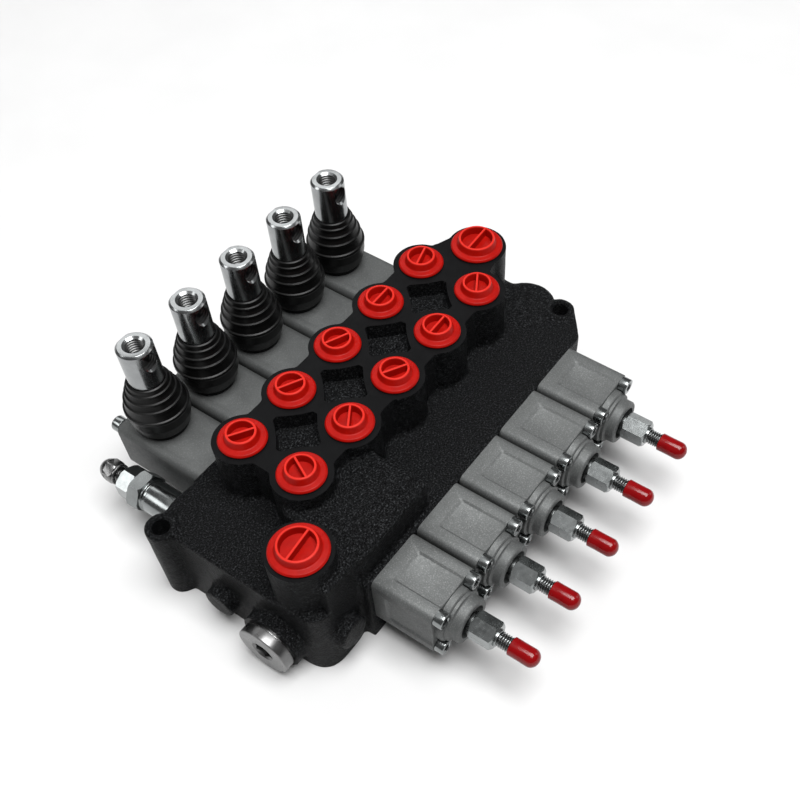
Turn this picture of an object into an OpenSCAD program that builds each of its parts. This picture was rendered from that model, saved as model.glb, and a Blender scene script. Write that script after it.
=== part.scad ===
// Five-section hydraulic monoblock directional valve.
// X runs along the body from the inlet end to the outlet end, Y points to the levers, Z is up.
// The origin is on the mounting face, below the middle spool and midway between the two side faces.

/* [Body] */
// Distance between neighbouring spools and between the two rows of work ports
pitch = 36; // [35:0.5:38]
// Depth of the body from the cap face to the lever face
body_depth = 108; // [106:1:112]
// Height of the ledge that carries the tower
ledge_z = 48; // [47:0.5:50]
// Height of the machined port face
port_z = 76; // [74:1:80]
// Inlet end of the body
inlet_x = -122; // [-124:1:-121]
// Outlet end of the body
outlet_x = 113; // [112:1:116]
// Radius of one work port boss
boss_r = 15; // [14.5:0.1:16]
// Height of the cast floor between the port bosses and of the inlet platform
floor_z = 67; // [64:1:69]

/* [Ports] */
// Threaded diameter of a work port
work_port_d = 15.4; // [15:0.1:16]
// Threaded diameter of the inlet and outlet ports
main_port_d = 19.4; // [19:0.1:20]
// Flange diameter of a work port plug
work_flange_d = 24.2; // [22:0.1:25]
// Flange diameter of an inlet or outlet plug
main_flange_d = 28.4; // [27:0.1:29]

/* [Mounting holes] */
// Diameter of the three mounting holes, clearance for M8
mount_d = 9; // [8.5:0.1:9.5]
// Outer radius of a mounting lug
lug_r = 8; // [7.5:0.1:9]

/* [Spools] */
// Height of the spool axis above the mounting face
spool_z = 31.5; // [31:0.5:33]
// Diameter of a spool land
spool_d = 16; // [15:0.1:16.5]
// Radial running clearance of a spool
spool_gap = 0.03; // [0.02:0.01:0.06]

/* [Spring caps] */
// Width and height of a spring cap
cap_w = 34.5; // [33:0.1:35]
// Length of a spring cap from the body to its end face
cap_len = 34; // [33:1:36]
// Sideways distance from the spool axis to a cap screw
screw_dx = 12.5; // [12:0.1:12.8]
// Vertical distance from the spool axis to a cap screw
screw_dz = 13; // [12.5:0.1:13.2]

/* [Levers] */
// Distance from the body axis to the lever axis
lever_y = 92.5; // [91:0.5:94]
// Height of the lever pivot
pivot_z = 50.5; // [50:0.5:51]
// Height of the top of a lever pin
lever_top_z = 104; // [100:1:110]
// Diameter of a lever pin
lever_d = 18; // [17:0.5:19]
// Largest diameter of a rubber boot
boot_d = 33; // [31:0.5:34]

/* [Hidden] */
$fn = 64;
eps = 0.5;
stations = 5;
side_y = body_depth / 2;            // lever face; the spring caps sit on -side_y
row_a = 32;                         // Y of the work ports on the lever side
row_b = row_a - pitch;              // Y of the work ports on the cap side
function station_x(i) = (i - (stations + 1) / 2) * pitch;
row_half = station_x(stations);

inlet_xy = [-105, -29.5];
outlet_xy = [100, 15];
main_boss_r = 16;
pocket_reach = 13.8;                // from the middle of a pocket to its four tips
pocket_tip = 1.3;                   // half the width of a tip
pocket_waist = 6.6;                 // how far the sides are drawn in
pocket_steps = 6;
lug_xy = [[-121, 47.5], [109, -35], [109, 46]];
lug_z = ledge_z + 2;
gallery_z = 18;                     // height of the pressure and tank galleries
gallery_d = 9;
pressure_y = -21.5;                 // Y of the pressure gallery
tank_y = 14;                        // Y of the tank gallery
feed_d = 6;
groove_d = 22;                      // cored rings round each spool bore
groove_w = 6;
ring_y = [-38, pressure_y, row_b, tank_y, row_a];
near_face_x = inlet_x - 7;          // end of the bosses on the inlet end
screw_d = 5;
screw_hole_d = 5.1;
screw_head_d = 8.5;
screw_head_h = 5;

cap_end = -side_y - cap_len;
cap_boss_end = cap_end - 11;
spool_tail_y = lever_y + 8;
stud_hex_y = -98;
stud_hex_end = -113.3;
hex_af = 13;
stud_d = 8;
sleeve_start = -120.8;
sleeve_end = -136;
housing_end = 110;
housing_z0 = 17;
housing_z1 = 47;
housing_screw_z = 43.5;
housing_screw_dx = 12.5;
collar_d = 22;                      // collar on the housing, inside the boot
hub_bore_d = 17.6;
handle_bore_d = 8.5;                // tapped holes of a lever pin, for M10
handle_depth = 16;                  // depth of the hole on top
side_hole_depth = 7;                // from the top of the pin down to the side hole's axis
flat_depth = 1.5;                   // flat on a lever pin, on the side away from the ports
relief_xz = [-103, 30];
relief_d = 18;                      // turned body of the relief valve, outside the casting
relief_hex_y = 78;                  // start of its hexagon
relief_nut_y = 85.5;                // start of the lock nut
relief_nut_end = 94.3;
relief_cap_y = 99.6;                // open end of the cap nut
adjuster_d = 8;

BLACK = [0.09, 0.09, 0.10];
ALU = [0.66, 0.67, 0.67];
ZINC = [0.78, 0.79, 0.80];
STEEL = [0.62, 0.63, 0.65];
RED = [0.86, 0.12, 0.07];
SLEEVE = [0.62, 0.04, 0.06];
RUBBER = [0.05, 0.05, 0.05];

// A cylinder along +Y from y0 to y1
module along_y(d, y0, y1) translate([0, y0, 0]) rotate([-90, 0, 0]) cylinder(d = d, h = y1 - y0);

// A cylinder along +X from x0 to x1
module along_x(d, x0, x1) translate([x0, 0, 0]) rotate([0, 90, 0]) cylinder(d = d, h = x1 - x0);

// A rectangle with round corners
module round_rect(x0, y0, x1, y1, r) {
    translate([x0 + r, y0]) square([x1 - x0 - 2 * r, y1 - y0]);
    translate([x0, y0 + r]) square([x1 - x0, y1 - y0 - 2 * r]);
    for (x = [x0 + r, x1 - r], y = [y0 + r, y1 - r]) translate([x, y]) circle(r);
}

// A round-cornered block that runs along Y
module block_along_y(half_w, z0, z1, y0, y1, r)
    translate([0, y1, 0]) rotate([90, 0, 0]) linear_extrude(y1 - y0)
        round_rect(-half_w, z0, half_w, z1, r);

// ---------------------------------------------------------------- body casting

module base_outline() {
    round_rect(inlet_x, -side_y + 5, -86, side_y, 16);
    round_rect(-91, -side_y, 96, side_y, 2);
    polygon([[80, -side_y], [98, -side_y], [115, -41], [outlet_x, 0], [outlet_x, side_y - 4],
        [outlet_x - 4, side_y], [80, side_y]]);
    translate([-118, 36]) square([30, side_y - 36 - 1]);
    translate([103, -16]) circle(17);
}

// Plan of the tower that carries the ports, without its pockets
module tower_outline() {
    for (x = [-row_half:pitch:row_half], y = [row_a, row_b]) translate([x, y]) circle(boss_r);
    translate([-row_half, row_b - 8]) square([2 * row_half, pitch + 16]);
    translate([-row_half - 8, row_b]) square([8 + eps, pitch]);
    translate(outlet_xy) circle(main_boss_r);
    polygon([[row_half, row_b - 9], [row_half + 14, row_b - 2], [outlet_xy[0] + 8, 2],
        [outlet_xy[0] + 4, 28], [row_half + 12, row_a + 4], [row_half, row_a + 9]]);
}

// One side of a pocket, drawn in towards its middle; t runs from 0 to 1
function pocket_side(t) = (1 - t) * (1 - t) * [pocket_reach, pocket_tip]
    + 2 * t * (1 - t) * [pocket_waist, pocket_waist] + t * t * [pocket_tip, pocket_reach];

// Four-pointed pocket between four neighbouring bosses
module pocket() polygon([for (quarter = [0:3], k = [0:pocket_steps])
    let (p = pocket_side(k / pocket_steps), c = cos(90 * quarter), s = sin(90 * quarter))
    [c * p[0] - s * p[1], s * p[0] + c * p[1]]]);

module platform_outline() {
    round_rect(-90, -side_y + 3, -38, row_b, 2);
    translate([-112, -side_y + 5]) square([40, 12]);
}

module inlet_column() {
    translate([inlet_xy[0], inlet_xy[1], 0]) cylinder(r = main_boss_r, h = port_z);
}

module end_bosses() {
    translate([0, pressure_y, gallery_z]) along_x(33, near_face_x, -105);
    translate([0, 12, 20]) along_x(17, near_face_x, -110);
    translate([-105, 0, 24]) along_y(18, -side_y - 0.5, -40);
    translate([relief_xz[0], 0, relief_xz[1]]) along_y(26, 40, side_y + 2);
    translate([0, tank_y, gallery_z]) along_x(30, 100, outlet_x + 5);
}

module spool_bore() {
    translate([0, 0, spool_z]) {
        along_y(spool_d + 2 * spool_gap, -side_y - eps, side_y + eps);
        for (y = ring_y) along_y(groove_d, y - groove_w / 2, y + groove_w / 2);
        // O-ring recess at each end of the bore
        along_y(21, -side_y - eps, -side_y + 3);
        along_y(21, side_y - 3, side_y + eps);
    }
    for (y = [row_a, row_b]) translate([0, y, 0]) {
        translate([0, 0, spool_z]) cylinder(d = 10, h = port_z);
        translate([0, 0, port_z - 16]) cylinder(d = work_port_d, h = 16 + eps);
    }
    for (y = [pressure_y, tank_y]) translate([0, y, gallery_z]) cylinder(d = feed_d, h = spool_z - gallery_z);
}

module body_drilling() {
    for (i = [1:stations]) translate([station_x(i), 0, 0]) {
        spool_bore();
        for (x = [-1, 1], z = [-1, 1]) translate([x * screw_dx, 0, spool_z + z * screw_dz])
            along_y(screw_hole_d, -side_y - eps, -side_y + 14);
        for (x = [-1, 1]) translate([x * housing_screw_dx, 0, housing_screw_z])
            along_y(screw_hole_d, side_y - 14, side_y + eps);
    }
    for (p = [inlet_xy, outlet_xy]) translate([p[0], p[1], 0]) {
        translate([0, 0, gallery_z]) cylinder(d = 13, h = port_z);
        translate([0, 0, port_z - 18]) cylinder(d = main_port_d, h = 18 + eps);
    }
    translate([0, pressure_y, gallery_z]) {
        along_x(gallery_d, near_face_x - eps, row_half + 2);
        along_x(16.2, near_face_x - eps, near_face_x + 14);
    }
    translate([0, tank_y, gallery_z]) {
        along_x(gallery_d, -row_half - 2, outlet_x + 5 + eps);
        along_x(16.2, outlet_x - 6, outlet_x + 5 + eps);
    }
    translate([relief_xz[0], 0, relief_xz[1]]) {
        along_y(14.1, 22, side_y + 2 + eps);
        along_y(gallery_d, inlet_xy[1], 23);
    }
    for (p = lug_xy) translate([p[0], p[1], -eps]) cylinder(d = mount_d, h = lug_z + 2 * eps);
}

module valve_body() color(BLACK) difference() {
    union() {
        linear_extrude(ledge_z) base_outline();
        difference() {
            translate([0, 0, ledge_z - eps]) linear_extrude(port_z - ledge_z + eps) tower_outline();
            for (i = [1:stations - 1])
                translate([station_x(i) + pitch / 2, (row_a + row_b) / 2, floor_z])
                    linear_extrude(port_z) pocket();
        }
        linear_extrude(floor_z) platform_outline();
        inlet_column();
        end_bosses();
        for (p = lug_xy) translate([p[0], p[1], 0]) cylinder(r = lug_r, h = lug_z);
    }
    body_drilling();
}

// ---------------------------------------------------------------- lever side

module lever_housing() color(ALU) difference() {
    union() {
        block_along_y(cap_w / 2, housing_z0, housing_z1, side_y, housing_end, 5);
        translate([0, lever_y, housing_z1 - 1]) cylinder(d = collar_d, h = 9);
    }
    translate([0, 0, spool_z]) along_y(18, side_y - eps, housing_end - 3);
    translate([0, lever_y, spool_z]) cylinder(d = hub_bore_d, h = 30);
    translate([-6, lever_y - 11, spool_z]) cube([12, 22, 10]);
    translate([0, lever_y, pivot_z]) along_x(6.02, -collar_d / 2 - eps, collar_d / 2 + eps);
    // Slanted lower end
    translate([-cap_w / 2 - 1, housing_end - 6, housing_z0 - 8]) rotate([-35, 0, 0])
        cube([cap_w + 2, 20, 14]);
    for (x = [-1, 1]) translate([x * housing_screw_dx, 0, housing_screw_z])
        along_y(screw_hole_d + 0.3, side_y - eps, housing_end + eps);
}

module lever() color(ZINC) difference() {
    union() {
        translate([0, lever_y, 64]) cylinder(d = lever_d, h = lever_top_z - 64 - 1);
        translate([0, lever_y, lever_top_z - 1]) cylinder(d1 = lever_d, d2 = lever_d - 2, h = 1);
        translate([0, lever_y, pivot_z]) cylinder(d = 11, h = 15);
        translate([0, lever_y, pivot_z]) sphere(d = 16);
        translate([0, lever_y, spool_z]) cylinder(d = 6, h = pivot_z - spool_z);
        translate([0, lever_y, spool_z]) sphere(d = 8);
    }
    translate([0, lever_y, pivot_z]) along_x(6.12, -15, 15);
    translate([0, lever_y, lever_top_z - handle_depth]) cylinder(d = handle_bore_d, h = handle_depth + 1);
    translate([0, 0, lever_top_z - side_hole_depth]) along_y(handle_bore_d, lever_y - lever_d, lever_y);
    translate([-lever_d, lever_y + lever_d / 2 - flat_depth, lever_top_z - handle_depth])
        cube([2 * lever_d, 5, handle_depth + 1]);
}

// Steps of the rubber boot: [height, how much smaller its radius is than the widest one]
boot_rings = [[50.5, 2.3], [56, 1], [62, 0], [68, 1.8], [72, 3.5], [76.2, 5.1]];
ring_h = 1.6;                       // height of each side of a ring
ring_slope = 1.2;                   // how far a ring's side runs inwards
boot_core_r = 13.2;
boot_cone_z = 70;                   // the boot narrows to its collar from here
boot_collar_z = 79;
boot_top_z = 81.5;
boot_bore_r = lever_d / 2 + 0.2;
boot_cavity_r = collar_d / 2 + 0.3;
module boot() color(RUBBER) translate([0, lever_y, 0]) difference() {
    union() {
        translate([0, 0, housing_z1]) cylinder(r = 12.5, h = 5);
        translate([0, 0, 51]) cylinder(r = boot_core_r, h = boot_cone_z - 51);
        for (ring = boot_rings) translate([0, 0, ring[0]]) {
            r = boot_d / 2 - ring[1];
            cylinder(r1 = r - ring_slope, r2 = r, h = ring_h);
            translate([0, 0, ring_h]) cylinder(r1 = r, r2 = r - ring_slope, h = ring_h);
        }
        translate([0, 0, boot_cone_z])
            cylinder(r1 = boot_core_r, r2 = 10, h = boot_collar_z - boot_cone_z);
        translate([0, 0, boot_collar_z - eps]) cylinder(r = 10.2, h = boot_top_z - boot_collar_z + eps);
    }
    translate([0, 0, housing_z1 - eps]) cylinder(r = boot_cavity_r, h = boot_cone_z - housing_z1 + eps);
    translate([0, 0, boot_cone_z]) cylinder(r1 = boot_cavity_r, r2 = boot_bore_r, h = 7);
    translate([0, 0, boot_cone_z + 6]) cylinder(r = boot_bore_r, h = boot_top_z - boot_cone_z);
}

module lever_pivot_pins() color(STEEL) for (i = [1:stations])
    translate([station_x(i), lever_y, pivot_z]) along_x(6, -10.7, 10.7);

// ---------------------------------------------------------------- spools

module spool() color(STEEL) translate([0, 0, spool_z]) difference() {
    union() {
        along_y(spool_d, -56, 54);
        along_y(14, 54 - eps, spool_tail_y);
        along_y(9, stud_hex_y, -56 + eps);
        along_y(20, -64, -61);
        along_y(7.9, -106, stud_hex_y + eps);
    }
    for (y = [-30, -13, 5, 23]) translate([0, y, 0]) rotate([-90, 0, 0]) difference() {
        translate([0, 0, -4]) cylinder(d = spool_d + 1, h = 8);
        translate([0, 0, -5]) cylinder(d = 10.5, h = 10);
    }
    // Slot for the lower ball of the lever, wider above it for the tilting shank
    translate([-4.4, lever_y - 4.4, -5.5]) cube([8.8, 8.8, 20]);
    translate([-4.4, lever_y - 6.6, 2]) cube([8.8, 13.2, 20]);
}

module spool_stud() color(ZINC) translate([0, 0, spool_z]) difference() {
    union() {
        translate([0, stud_hex_end, 0]) rotate([-90, 30, 0])
            cylinder(d = hex_af / cos(30), h = stud_hex_y - stud_hex_end, $fn = 6);
        along_y(stud_d, sleeve_end + 4, stud_hex_end + eps);
    }
    along_y(8.1, -106.5, stud_hex_y + eps);
}

module thread_sleeve() color(SLEEVE) translate([0, 0, spool_z]) difference() {
    union() {
        along_y(9.6, sleeve_end + 4.8, sleeve_start);
        translate([0, sleeve_end + 4.8, 0]) sphere(d = 9.6);
    }
    along_y(stud_d + 0.1, sleeve_end + 4 - 0.1, sleeve_start + eps);
}

function coil_point(a, r, wire_r, y0, rise, t) = let (ring = r + wire_r * cos(t))
    [ring * cos(a), y0 + rise * a / 360 + wire_r * sin(t), ring * sin(a)];

// A coil spring along Y, swept as rings of a round wire
module coil(r, wire_r, y0, y1, turns, steps = 14, sides = 6) {
    last = turns * steps;
    rise = (y1 - y0) / turns;
    points = [for (k = [0:last], s = [0:sides - 1])
        coil_point(k * 360 / steps, r, wire_r, y0, rise, s * 360 / sides)];
    faces = concat(
        [for (k = [0:last - 1], s = [0:sides - 1]) [k * sides + s, k * sides + (s + 1) % sides,
            (k + 1) * sides + (s + 1) % sides]],
        [for (k = [0:last - 1], s = [0:sides - 1]) [k * sides + s, (k + 1) * sides + (s + 1) % sides,
            (k + 1) * sides + s]],
        [[for (s = [sides - 1:-1:0]) s]],
        [[for (s = [0:sides - 1]) last * sides + s]]);
    polyhedron(points, faces);
}

module centring_spring() color(STEEL) translate([0, 0, spool_z]) coil(8.2, 1.1, -79.7, -65.3, 5);

// ---------------------------------------------------------------- spring side

module spring_cap() color(ALU) difference() {
    union() {
        block_along_y(cap_w / 2, spool_z - 17, spool_z + 17, cap_end, -side_y, 4);
        translate([0, 0, spool_z]) {
            along_y(30, cap_end - 4, cap_end + eps);
            along_y(24, cap_boss_end, cap_end);
        }
    }
    translate([0, 0, spool_z]) {
        along_y(24, cap_end + 4, -side_y + eps);
        along_y(11, cap_boss_end - eps, -side_y);
        along_y(18, cap_boss_end - eps, cap_boss_end + 9);
    }
    for (x = [-1, 1], z = [-1, 1]) translate([x * screw_dx, 0, spool_z + z * screw_dz]) {
        along_y(screw_hole_d + 0.3, cap_end - eps, -side_y + eps);
        along_y(screw_head_d + 1, cap_end - screw_head_h - 1, cap_end);
    }
}

// Socket-head cap screw, head towards -Y, with its seat at y0
module screw_minus_y(length) difference() {
    union() {
        along_y(screw_d, -eps, length);
        along_y(screw_head_d, -screw_head_h, 0);
    }
    translate([0, -screw_head_h - eps, 0]) rotate([-90, 0, 0])
        cylinder(d = 4 / cos(30), h = 3 + eps, $fn = 6);
}

module spring_cap_screws() color(ZINC)
    for (i = [1:stations], x = [-1, 1], z = [-1, 1])
        translate([station_x(i) + x * screw_dx, cap_end, spool_z + z * screw_dz])
            screw_minus_y(cap_len + 12);

module lever_housing_screws() color(ZINC)
    for (i = [1:stations], x = [-1, 1])
        translate([station_x(i) + x * housing_screw_dx, housing_end, housing_screw_z])
            mirror([0, 1, 0]) screw_minus_y(housing_end - side_y + 12);

module spring_seats() color(STEEL) for (i = [1:stations])
    translate([station_x(i), 0, spool_z]) difference() {
        along_y(23.6, cap_end + 4, cap_end + 7);
        along_y(10.6, cap_end, cap_end + 8);
    }

module spool_seals() color(RUBBER) for (i = [1:stations], y = [-side_y + 1.5, side_y - 1.5])
    translate([station_x(i), y, spool_z]) rotate([90, 0, 0])
        rotate_extrude() translate([(spool_d + 21) / 4 + 0.02, 0]) circle(d = 2.3);

// ---------------------------------------------------------------- plugs

// Plastic port plug: flange on the port face, raised cup with a cross bar, hollow stem below
module port_plug(flange_d, stem_d, cup_d, angle) {
    difference() {
        union() {
            cylinder(d = flange_d, h = 2);
            translate([0, 0, -11]) cylinder(d = stem_d, h = 11 + eps);
            translate([0, 0, 1.5]) cylinder(d1 = cup_d + 1.4, d2 = cup_d, h = 4.5);
        }
        translate([0, 0, 1.2]) cylinder(d1 = cup_d - 3, d2 = cup_d - 2, h = 6);
        translate([0, 0, -11 - eps]) cylinder(d = stem_d - 3, h = 10);
    }
    rotate(angle) translate([-(cup_d - 2.2) / 2, -0.7, 1]) cube([cup_d - 2.2, 1.4, 4.7]);
}

plug_angle_a = [-33, -28, -25, 2, 16];
plug_angle_b = [64, 33, -30, 2, 31];

module work_port_plugs_a() color(RED) for (i = [1:stations])
    translate([station_x(i), row_a, port_z])
        port_plug(work_flange_d, work_port_d - 0.2, 14.4, plug_angle_a[i - 1]);

module work_port_plugs_b() color(RED) for (i = [1:stations])
    translate([station_x(i), row_b, port_z])
        port_plug(work_flange_d, work_port_d - 0.2, 14.4, plug_angle_b[i - 1]);

module inlet_port_plug() color(RED) translate([inlet_xy[0], inlet_xy[1], port_z])
    port_plug(main_flange_d, main_port_d - 0.2, 18.6, 6);

module outlet_port_plug() color(RED) translate([outlet_xy[0], outlet_xy[1], port_z])
    port_plug(main_flange_d, main_port_d - 0.2, 18.6, 3);

module inlet_end_plug() color(ZINC) translate([0, pressure_y, gallery_z]) difference() {
    union() {
        along_x(29, near_face_x - 6.5, near_face_x - 1);
        along_x(16, near_face_x - 1 - eps, near_face_x + 11);
    }
    translate([near_face_x - 7, 0, 0]) rotate([0, 90, 0])
        cylinder(d = 10 / cos(30), h = 8, $fn = 6);
}

module inlet_end_plug_seal() color(STEEL) translate([0, pressure_y, gallery_z]) difference() {
    along_x(26, near_face_x - 1, near_face_x);
    along_x(16.4, near_face_x - 2, near_face_x + 1);
}

module outlet_end_plug() color(ZINC) translate([0, tank_y, gallery_z]) difference() {
    union() {
        along_x(24, outlet_x + 5, outlet_x + 9);
        along_x(16, outlet_x - 4, outlet_x + 5 + eps);
    }
    translate([outlet_x + 4, 0, 0]) rotate([0, 90, 0]) cylinder(d = 8 / cos(30), h = 6, $fn = 6);
}

// ---------------------------------------------------------------- relief valve

module at_relief() translate([relief_xz[0], 0, relief_xz[1]]) children();

// A hexagon along Y, with a corner up or turned to have a flat up
module hex_along_y(af, y0, y1, turn = 30) translate([0, y0, 0]) rotate([-90, turn, 0])
    cylinder(d = af / cos(30), h = y1 - y0, $fn = 6);

module relief_valve_body() color(ZINC) at_relief() difference() {
    union() {
        along_y(14, 30, side_y + 2.5);
        along_y(relief_d, side_y + 2, relief_hex_y);
        hex_along_y(19, relief_hex_y, relief_nut_y, 0);
    }
    along_y(9, 38, 74);
    along_y(6, 29, 39);
    along_y(adjuster_d + 0.1, 73, relief_nut_y + eps);
}

module relief_lock_nut() color(ZINC) at_relief() difference() {
    hex_along_y(16, relief_nut_y, relief_nut_end);
    along_y(adjuster_d + 0.1, relief_nut_y - eps, relief_nut_end + eps);
}

module relief_adjusting_screw() color(STEEL) at_relief() along_y(adjuster_d, 68, 105);

module relief_cap_nut() color(ZINC) at_relief() difference() {
    union() {
        along_y(11.6, relief_cap_y, relief_cap_y + 1.5);
        hex_along_y(11, relief_cap_y + 1, 107);
        intersection() {
            translate([0, 106, 0]) sphere(d = 12);
            along_y(14, 106.5, 115);
        }
    }
    along_y(adjuster_d + 0.1, relief_cap_y - eps, 105.1);
}

module relief_spring() color(STEEL) at_relief() coil(3.3, 0.7, 46.9, 66.9, 6);

module relief_poppet() color(STEEL) at_relief() {
    along_y(8.8, 43, 45.9);
    translate([0, 39.3, 0]) rotate([-90, 0, 0]) cylinder(d1 = 6.2, d2 = 8.8, h = 3.7 + 0.01);
}

// ---------------------------------------------------------------- assembly

module at(i) translate([station_x(i), 0, 0]) children();

valve_body();
at(1) lever_housing();  // lever_housing_1
at(2) lever_housing();  // lever_housing_2
at(3) lever_housing();  // lever_housing_3
at(4) lever_housing();  // lever_housing_4
at(5) lever_housing();  // lever_housing_5
at(1) lever();  // lever_1
at(2) lever();  // lever_2
at(3) lever();  // lever_3
at(4) lever();  // lever_4
at(5) lever();  // lever_5
at(1) boot();  // boot_1
at(2) boot();  // boot_2
at(3) boot();  // boot_3
at(4) boot();  // boot_4
at(5) boot();  // boot_5
at(1) spool();  // spool_1
at(2) spool();  // spool_2
at(3) spool();  // spool_3
at(4) spool();  // spool_4
at(5) spool();  // spool_5
at(1) spring_cap();  // spring_cap_1
at(2) spring_cap();  // spring_cap_2
at(3) spring_cap();  // spring_cap_3
at(4) spring_cap();  // spring_cap_4
at(5) spring_cap();  // spring_cap_5
at(1) centring_spring();  // centring_spring_1
at(2) centring_spring();  // centring_spring_2
at(3) centring_spring();  // centring_spring_3
at(4) centring_spring();  // centring_spring_4
at(5) centring_spring();  // centring_spring_5
at(1) spool_stud();  // spool_stud_1
at(2) spool_stud();  // spool_stud_2
at(3) spool_stud();  // spool_stud_3
at(4) spool_stud();  // spool_stud_4
at(5) spool_stud();  // spool_stud_5
at(1) thread_sleeve();  // thread_sleeve_1
at(2) thread_sleeve();  // thread_sleeve_2
at(3) thread_sleeve();  // thread_sleeve_3
at(4) thread_sleeve();  // thread_sleeve_4
at(5) thread_sleeve();  // thread_sleeve_5
spring_cap_screws();
lever_housing_screws();
lever_pivot_pins();
spring_seats();
spool_seals();
work_port_plugs_a();
work_port_plugs_b();
inlet_port_plug();
outlet_port_plug();
inlet_end_plug();
inlet_end_plug_seal();
outlet_end_plug();
relief_valve_body();
relief_lock_nut();
relief_adjusting_screw();
relief_cap_nut();
relief_spring();
relief_poppet();
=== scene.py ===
"""Looks of a five-section hydraulic monoblock valve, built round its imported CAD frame.

Lengths are in millimetres until a mesh is made, in the frame of the record: the origin on the
mounting face below the middle spool, X from the inlet end to the outlet end, Y to the levers, Z up.
"""
import math
import random

import bmesh
import bpy
from mathutils import Matrix, Vector, noise


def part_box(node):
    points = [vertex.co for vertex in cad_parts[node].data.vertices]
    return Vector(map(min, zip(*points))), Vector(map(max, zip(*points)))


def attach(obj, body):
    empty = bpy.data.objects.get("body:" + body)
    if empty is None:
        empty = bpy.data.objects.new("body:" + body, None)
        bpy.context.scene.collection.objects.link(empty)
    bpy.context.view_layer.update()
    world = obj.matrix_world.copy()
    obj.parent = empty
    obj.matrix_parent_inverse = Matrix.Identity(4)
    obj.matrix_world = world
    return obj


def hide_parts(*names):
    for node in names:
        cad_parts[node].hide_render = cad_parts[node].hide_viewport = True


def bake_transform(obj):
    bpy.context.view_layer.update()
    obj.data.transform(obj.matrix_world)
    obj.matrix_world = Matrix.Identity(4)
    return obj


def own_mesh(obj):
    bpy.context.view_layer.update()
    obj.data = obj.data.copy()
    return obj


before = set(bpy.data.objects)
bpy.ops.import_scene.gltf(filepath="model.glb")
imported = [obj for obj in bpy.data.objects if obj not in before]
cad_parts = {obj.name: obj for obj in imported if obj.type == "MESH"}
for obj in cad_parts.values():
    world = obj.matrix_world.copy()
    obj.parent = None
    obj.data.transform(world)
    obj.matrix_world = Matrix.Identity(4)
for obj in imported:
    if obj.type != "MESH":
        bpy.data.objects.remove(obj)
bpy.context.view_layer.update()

MM = 0.001
TAU = 2 * math.pi

# ---------------------------------------------------------------- places, from the frame


def centre(node, axis):
    """Middle of a CAD node's box along one axis, in mm."""
    low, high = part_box(node)
    return (low[axis] + high[axis]) / 2 / MM


def far_end(node, axis):
    """Highest coordinate of a CAD node along one axis, in mm."""
    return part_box(node)[1][axis] / MM


STATIONS = range(1, 6)
STATION_X = [round(centre(f"spring_cap_{i}", 0), 2) for i in STATIONS]
PITCH = STATION_X[1] - STATION_X[0]
SPOOL_Z = round(centre("spool_1", 2), 2)
ROW_A = round(centre("work_port_plugs_a", 1), 1)
ROW_B = round(centre("work_port_plugs_b", 1), 1)
INLET = (round(centre("inlet_port_plug", 0), 1), round(centre("inlet_port_plug", 1), 1))
OUTLET = (round(centre("outlet_port_plug", 0), 1), round(centre("outlet_port_plug", 1), 1))
LEVER_TOP = far_end("lever_1", 2)
HOUSING_END_EXACT = far_end("lever_housing_1", 1)
HOUSING_END = round(HOUSING_END_EXACT, 2)

SIDE_Y = 54              # the side faces of the body stand this far from its middle
LEDGE_Z = 48             # top of the main block
FLOOR_Z = 67             # floor of the pockets and top of the platform
PORT_Z = 76              # port faces
NEAR_FACE_X = -129       # machined face of the inlet end
CAP_END = -88            # where the spring caps' screws seat
LUGS = [(-121, 47.5), (109, -35), (109, 46)]         # mounting holes
LEVER_Y, PIVOT_Z = 92.5, 50.5
RELIEF_X, RELIEF_Z = -103, 30                        # axis of the relief valve
PRESSURE_Y, TANK_Y, GALLERY_Z = -21.5, 14, 18        # axes of the two galleries


def at_each_station(*makers):
    """Calls makers with the number and the place of every spool."""
    for i, x in zip(STATIONS, STATION_X):
        for make in makers:
            make(i, x)


# ---------------------------------------------------------------- mesh kit

TURN = {
    "+z": Matrix.Identity(4),
    "-z": Matrix.Rotation(math.pi, 4, "X"),
    "+x": Matrix.Rotation(math.pi / 2, 4, "Y"),
    "-x": Matrix.Rotation(-math.pi / 2, 4, "Y"),
    "+y": Matrix.Rotation(-math.pi / 2, 4, "X"),
    "-y": Matrix.Rotation(math.pi / 2, 4, "X"),
}


def place(at, toward="+z", spin=0.0):
    """Moves a shape to a point, turns its local +Z towards an axis and spins it about that."""
    return Matrix.Translation(at) @ TURN[toward] @ Matrix.Rotation(math.radians(spin), 4, "Z")


def softened(path, steps=5, closed=False):
    """Corners given as (a, b, radius) become arcs; corners given as (a, b) stay sharp."""
    out = []
    count = len(path)
    for k, corner in enumerate(path):
        here = Vector(corner[:2])
        if len(corner) < 3 or (not closed and k in (0, count - 1)):
            out.append(tuple(here))
            continue
        back = Vector(path[k - 1][:2]) - here
        ahead = Vector(path[(k + 1) % count][:2]) - here
        half = back.angle(ahead) / 2
        reach = min(corner[2] / math.tan(half), 0.49 * back.length, 0.49 * ahead.length)
        start, end = here + back.normalized() * reach, here + ahead.normalized() * reach
        for s in range(steps + 1):
            t = s / steps
            point = start * (1 - t) ** 2 + here * 2 * t * (1 - t) + end * t ** 2
            out.append(tuple(point))
    return out


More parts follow.
